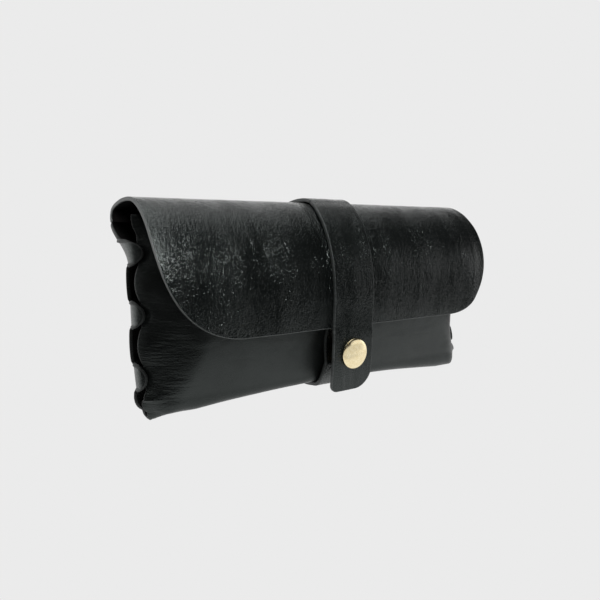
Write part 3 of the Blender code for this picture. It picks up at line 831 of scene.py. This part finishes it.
def grain_leather(name, dark, light, roughness, pebble, depth, wrinkles, worn=None, smooth_top=False):
    """The finished side: pebbles of a size and depth in mm, wrinkles of a height in mm, and a patchy gloss.
    Where worn, the wrinkles lie between two distances down the sheet, in mm, each given as its start and
    end, and shine more; otherwise they are tucks at the case's ends. smooth_top fades the pebbles there."""
    n = Nodes(bpy.data.materials.new(name))
    flat = n.sheet()
    wander = n.add("ShaderNodeTexNoise", {"Vector": flat, "Scale": 0.35, "Detail": 2.0}).outputs["Color"]
    strayed = n.vector_math("ADD", flat, wander)[0]
    bent = n.add("ShaderNodeMix", {0: 0.35, 4: flat, 5: strayed}, data_type="VECTOR").outputs[1]
    cells = n.add("ShaderNodeTexVoronoi", {"Vector": bent, "Scale": 1 / pebble, "Randomness": 1.0},
                  feature="DISTANCE_TO_EDGE").outputs["Distance"]
    pebbles = n.ramp(cells, 0.0, 0.28)
    skin = n.noise(flat, 2.6, 4.0, 0.6)
    across, along = n.parts(flat)[:2]
    down = n.times(along, -1.0)
    depth = n.ramp(down, 2.0, 16.0, 0.02, depth) if smooth_top else depth
    height = n.times(n.math("ADD", pebbles, n.times(skin, 0.7)), depth)
    gloss = n.ramp(n.noise(flat, 0.11, 3.0, 0.6), 0.3, 0.7, roughness - 0.05, roughness + 0.06)
    gloss = n.math("ADD", gloss, n.ramp(cells, 0.12, 0.0, 0.0, 0.10))
    if worn:
        start, end = worn
        zone = n.times(n.ramp(down, *start), n.ramp(down, *reversed(end)))
        streaks = n.ramp(n.noise(n.sheet((1 / 16, 1 / 70, 1)), 1.0, 3.0, 0.6), 0.38, 0.62, 0.35, 1.0)
        lines = n.noise(n.sheet((1 / 0.85, 1 / 2.1, 1)), 1.0, 3.0, 0.6)
        rumple = n.times(n.times(lines, wrinkles), n.times(zone, streaks))
        gloss = n.math("SUBTRACT", gloss, n.times(zone, 0.07))
    else:
        tucks = n.noise(n.sheet((1 / 3.2, 1 / 0.85, 1)), 1.0, 3.0, 0.55)
        rumple = n.times(tucks, wrinkles, n.ramp(n.math("ABSOLUTE", across), 62.0, 78.0))
    patch = n.ramp(n.noise(flat, 0.045, 3.0, 0.55), 0.35, 0.65)
    colour = n.mix(patch, tint(dark), tint(light))
    # Painted shade: the colour is darkened towards half in the pebbles' valleys, where shade would fall.
    colour = n.mix(n.times(n.ramp(cells, 0.10, 0.0), 0.5), colour, tint(dark, 0.5))
    bump = n.bump(n.math("ADD", height, rumple), MM, 1.0)
    return n.finish(Base_Color=colour, Roughness=gloss, Normal=bump,
                    IOR=1.5, Specular_IOR_Level=0.5, Specular_Tint=(0.90, 1.0, 0.97, 1))


def flesh_leather(name, painted_light_scale):
    """The unfinished inner side: soft short fibres. painted_light_scale multiplies its colour and sheen:
    above 1 it is painted light, below 1 painted shade, for copies that the lamps light too much or too
    little.
    """
    n = Nodes(bpy.data.materials.new(name))
    fibre = n.noise(n.sheet(), 5.0, 5.0, 0.7)
    nap = n.noise(n.sheet((0.25, 0.1, 1)), 1.0, 3.0)
    height = n.math("ADD", fibre, n.times(nap, 0.6))
    colour = n.mix(n.ramp(nap, 0.3, 0.7), *(tint(tone, painted_light_scale) for tone in FLESH_TONES))
    return n.finish(Base_Color=colour, Roughness=0.92, Normal=n.bump(height, 0.12 * MM, 0.9),
                    Specular_IOR_Level=0.1 * painted_light_scale, Sheen_Weight=0.03 * painted_light_scale, Sheen_Roughness=0.5)


def cut_edge(name, dark, light, shine, painted_highlight_for=0.0, painted_highlight_past=0.0):
    """The cut edge: its fibres showing in layers, dark where raw. A painted highlight makes it lighter over
    the first painted_highlight_for mm down the sheet, and on the tabs, further than painted_highlight_past
    mm from the middle."""
    n = Nodes(bpy.data.materials.new(name))
    flat = n.sheet()
    fibre = n.noise(flat, 3.5, 4.0, 0.65)
    colour = n.mix(n.ramp(fibre, 0.35, 0.7), tint(dark), tint(light))
    if painted_highlight_for:
        across, down = n.parts(flat)[:2]
        # Painted highlight: a lighter edge colour at the top of the sheet and on the tabs' ends, standing
        # in for a lit rim.
        colour = n.mix(n.ramp(down, painted_highlight_for + 4.0, painted_highlight_for), colour, tint(light, 2))
        tab = n.ramp(n.math("ABSOLUTE", across), painted_highlight_past, painted_highlight_past + 1.0)
        colour = n.mix(tab, colour, tint(light, 1.6))
    return n.finish(Base_Color=colour, Roughness=n.ramp(fibre, 0.3, 0.7, 0.42, 0.62),
                    Normal=n.bump(fibre, 0.10 * MM, 0.8), Specular_IOR_Level=shine)


def brass(name, dark, light, roughness):
    """Plated brass: faint mottling and small handling scratches."""
    n = Nodes(bpy.data.materials.new(name))
    place = n.add("ShaderNodeTexCoord").outputs["Object"]
    fine = n.noise(n.mapped(place, (1000, 1000, 1000)), 0.9, 4.0)
    scratches = n.noise(n.mapped(place, (400, 3000, 3000), (0.3, 0.2, 0.5)), 1.0, 2.0)
    scratches = n.ramp(n.math("ABSOLUTE", n.math("SUBTRACT", scratches, 0.5)), 0.0, 0.02)
    height = n.math("ADD", n.times(fine, 0.3), scratches)
    return n.finish(Base_Color=n.mix(n.ramp(fine, 0.3, 0.7), tint(dark), tint(light)),
                    Roughness=n.ramp(fine, 0.25, 0.75, roughness * 0.75, roughness * 1.3),
                    Normal=n.bump(height, 0.01 * MM, 0.25), Metallic=1.0)


# ---- camera, floor and light ----
CAMERA_PLACE = np.array([-0.1579, -0.2025, 0.05675])
CAMERA_TURN = 0.62603  # to the right of straight ahead
CAMERA_DIP = 0.07359
CAMERA_ROLL = -0.02988
PALE = 0.8308
FLOOR_SLANT = 0.12  # the lit part of the floor reaches further forward to the right
FLOOR_FRONT = (-0.069, -0.041)  # slanted depth at which it starts and is full
FLOOR_LEFT = (-0.135, -0.080)
FLOOR_RIGHT = (0.170, 0.130)
FLOOR_GLOW = 0.92
STUDIO_DARK = 0.04
STUDIO_TOP = (0.79, 1.0, 2.6)  # where the overhead glow starts and is full, up the sky, and its strength
STUDIO_RIGHT = (0.78, 0.99, 0.9)  # the same for the glow to the right, along x
RIGHT_TOP = (0.26, 0.08)  # height at which that glow has ended, and below which it is full
RIGHT_FOOT = (-0.24, -0.04)  # height at which it starts and is full
STUDIO_BACK = (0.22, 0.66, 1.0)  # the same for the glow behind the case, along y
BACK_TOP = (0.84, 0.54)
STUDIO_LEFT = (-0.70, 0.71, 0.05)  # the direction of a window behind on the left
LEFT_GLOW = (0.75, 0.95, 1.6)  # its cosines at which it starts and is full, and its strength
FLOOR_HALF = 6.0
# Lamps: name, place, point aimed at, width and height, power in watts.
WINDOW = ("window", (-0.36, -0.75, 0.42), (-0.03, 0, 0.05), (0.13, 0.26), 8.2)
CAP_CARDS = [("cap_card", (0.37, -0.36, 0.060), (0, -0.02, 0.017), (0.45, 0.125), 0.165),
             ("cap_card_low", (0.12, -0.245, 0.002), (0.12, -0.245, 1.0), (0.50, 0.382), 0.41)]
FLESH_TONES = [(0.0020, 0.0018, 0.0018), (0.0055, 0.0047, 0.0047)]


def make_camera():
    camera = bpy.data.cameras.new("camera")
    camera.lens = 36.0
    camera.sensor_width = 36.0
    camera.clip_start = 0.01
    made = in_scene("camera", camera)
    bpy.context.scene.camera = made
    # Three directions, first level, then with the dip, then with the roll.
    level = Vector((math.sin(CAMERA_TURN), math.cos(CAMERA_TURN), 0))
    right = Vector((math.cos(CAMERA_TURN), -math.sin(CAMERA_TURN), 0))
    up = Vector((0, 0, 1))
    ahead = level * math.cos(CAMERA_DIP) - up * math.sin(CAMERA_DIP)
    over = level * math.sin(CAMERA_DIP) + up * math.cos(CAMERA_DIP)
    across = right * math.cos(CAMERA_ROLL) + over * math.sin(CAMERA_ROLL)
    over = over * math.cos(CAMERA_ROLL) - right * math.sin(CAMERA_ROLL)
    turn = Matrix((across, over, -ahead)).transposed().to_4x4()
    made.matrix_world = Matrix.Translation(Vector(CAMERA_PLACE)) @ turn


def studio(n, direction):
    """How bright the studio is in a direction, the same above the horizon and in the floor far away."""
    x, y, z = n.parts(direction)
    right = n.times(n.ramp(x, *STUDIO_RIGHT[:2], 0.0, STUDIO_RIGHT[2]), n.ramp(z, *RIGHT_TOP),
                    n.ramp(z, *RIGHT_FOOT))
    back = n.times(n.ramp(y, *STUDIO_BACK[:2], 0.0, STUDIO_BACK[2]), n.ramp(z, *BACK_TOP))
    toward = n.vector_math("DOT_PRODUCT", direction, STUDIO_LEFT)["Value"]
    left = n.ramp(toward, *LEFT_GLOW[:2], 0.0, LEFT_GLOW[2])
    sides = n.math("MAXIMUM", n.math("MAXIMUM", right, back), left)
    above = n.math("ADD", n.ramp(z, *STUDIO_TOP[:2], 0.0, STUDIO_TOP[2]), STUDIO_DARK)
    return n.math("ADD", above, sides)


def for_camera(n, others):
    """An even pale to the camera, and another strength to all other rays."""
    path = n.add("ShaderNodeLightPath").outputs["Is Camera Ray"]
    return n.add("ShaderNodeMix", {0: path, 2: others, 3: PALE}, data_type="FLOAT").outputs[0]


def make_floor():
    """A pale floor, even to the camera. Other rays meet a lit patch of it, and past that the studio."""
    mesh = bpy.data.meshes.new("floor")
    corners = [(FLOOR_HALF * x, FLOOR_HALF * y, 0) for x, y in ((-1, -1), (1, -1), (1, 1), (-1, 1))]
    mesh.from_pydata(corners, [], [(0, 1, 2, 3)])
    n = Nodes(bpy.data.materials.new("pale_floor"))
    n.tree.nodes.clear()
    place = n.add("ShaderNodeTexCoord").outputs["Object"]
    x = n.parts(place)[0]
    slanted = n.vector_math("DOT_PRODUCT", place, (FLOOR_SLANT, 1, 0))["Value"]
    front = n.ramp(slanted, *FLOOR_FRONT)
    patch = n.times(n.ramp(x, *FLOOR_LEFT, 0.0, FLOOR_GLOW), front, n.ramp(x, *FLOOR_RIGHT))
    back_along = n.add("ShaderNodeNewGeometry").outputs["Incoming"]
    along = n.vector_math("MULTIPLY", back_along, (-1, -1, -1))[0]
    lit = n.math("MAXIMUM", patch, studio(n, along))
    shine = n.add("ShaderNodeEmission", {"Strength": for_camera(n, lit)})
    n.add("ShaderNodeOutputMaterial", {"Surface": shine.outputs[0]}).is_active_output = True
    mesh.materials.append(n.owner)
    made = in_scene("floor", mesh)


def make_world():
    """A pale surround, seen as even by the camera and as a studio by everything else."""
    world = bpy.data.worlds.new("studio")
    bpy.context.scene.world = world
    n = Nodes(world)
    n.tree.nodes.clear()
    direction = n.add("ShaderNodeTexCoord").outputs["Generated"]
    background = n.add("ShaderNodeBackground", {"Color": for_camera(n, studio(n, direction))})
    n.add("ShaderNodeOutputWorld", {"Surface": background.outputs[0]})


def make_lamp(name, place, aim, size, power):
    lamp = bpy.data.lights.new(name, "AREA")
    lamp.shape = "RECTANGLE"
    lamp.size, lamp.size_y = size
    lamp.energy = power
    made = in_scene(name, lamp)
    made.location = place
    made.rotation_euler = (Vector(aim) - Vector(place)).to_track_quat("-Z", "Y").to_euler()
    made.visible_camera = False
    return made


def light_only(lamp, *pieces):
    """Keep a lamp's light to some of the pieces."""
    group = bpy.data.collections.new(lamp.name + "_reach")
    for piece in pieces:
        group.objects.link(piece)
    lamp.light_linking.receiver_collection = group


# ---- the case ----
def main():
    bpy.context.scene.view_settings.view_transform = "Standard"
    make_camera()
    make_floor()
    make_world()
    window = make_lamp(*WINDOW)
    cards = [make_lamp(*card) for card in CAP_CARDS]
    # Copies of one flesh side: the pouch's inside is painted lighter (2.4) and the flap's underside painted
    # darker (0.6), as painted light and painted shade for how the lamps reach them.
    flesh = flesh_leather("flesh_side", 1.0)
    inside = flesh_leather("inside_flesh_painted_light", 2.4)
    under_flap_painted_shade = flesh_leather("flap_flesh_painted_shade", 0.6)
    edge = cut_edge("cut_edge", (0.022, 0.025, 0.024), (0.070, 0.077, 0.075), 0.5)
    strap_edge = cut_edge("strap_edge", (0.014, 0.016, 0.0155), (0.045, 0.050, 0.0485), 0.4)
    # The raw edge has a painted highlight over its first 6 mm down the sheet and on the tabs' ends.
    raw_edge = cut_edge("raw_edge", (0.006, 0.0067, 0.0065), (0.036, 0.039, 0.038), 0.30,
                        painted_highlight_for=6.0, painted_highlight_past=83.0)
    panel = grain_leather("pouch_grain", (0.0045, 0.0054, 0.0052), (0.0085, 0.0098, 0.0094),
                          roughness=0.33, pebble=0.75, depth=0.02, wrinkles=0.30)
    pebbled = grain_leather("flap_grain", (0.0018, 0.0024, 0.0023), (0.0040, 0.0050, 0.0048),
                            roughness=0.18, pebble=0.85, depth=0.060, wrinkles=0.52,
                            worn=((12, 26), (78, 90)), smooth_top=True)
    band = grain_leather("strap_grain", (0.0022, 0.0029, 0.0028), (0.0046, 0.0057, 0.0054),
                         roughness=0.26, pebble=0.80, depth=0.05, wrinkles=0.50,
                         worn=((152, 163), (188, 203)))

    pouch = make_pouch([panel, inside, raw_edge])
    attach(pouch, "pouch")
    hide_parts("pouch_shell")

    flap = make_flap([pebbled, under_flap_painted_shade, edge])
    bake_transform(flap)
    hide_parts("flap")

    under, crown, tongue = strap_line()
    looks = [band, flesh, strap_edge]
    back_piece = strap_piece("strap_back", under, 0.0, looks, (False, True),
                             hole=(UNDER_STRAP_Y, STUD_HOLE))
    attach(back_piece, "pouch")
    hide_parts("wrap_strap")
    reached = lengths(under)[-1]
    over_piece = strap_piece("strap_over", crown, reached, looks, (True, True))
    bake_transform(over_piece)
    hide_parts("strap_crown")
    reached += lengths(crown)[-1]
    tongue_piece = strap_piece("strap_front", tongue, reached, looks, (True, False), TONGUE_CORNERS,
                               (TONGUE_Y, CAP_HOLE))
    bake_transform(tongue_piece)
    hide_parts("strap_tongue")

    light_only(window, flap, over_piece, tongue_piece)
    gold = brass("cap_plating", (0.88, 0.74, 0.45), (0.96, 0.84, 0.56), 0.17)
    plain = brass("snap_plating", (0.62, 0.46, 0.22), (0.78, 0.60, 0.32), 0.28)
    for name, node, profile, look, body, slot, tilt in (
            ("cap", "snap_cap", cap_profile(), gold, "tongue", "cap_brass", SNAP_TILT),
            ("socket", "snap_socket", socket_profile(), plain, "tongue", "snap_brass", SNAP_TILT),
            ("stud", "snap_stud", stud_profile(), plain, "pouch", "snap_brass", 0.0)):
        piece = turned(name, profile, look, tilt)
        if name == "cap":
            for card in cards:
                light_only(card, piece)
        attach(piece, body)
        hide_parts(node)
    for node in ("snap_spring", "stud_rivet"):
        bpy.data.objects[node].material_slots[0].material = plain


main()
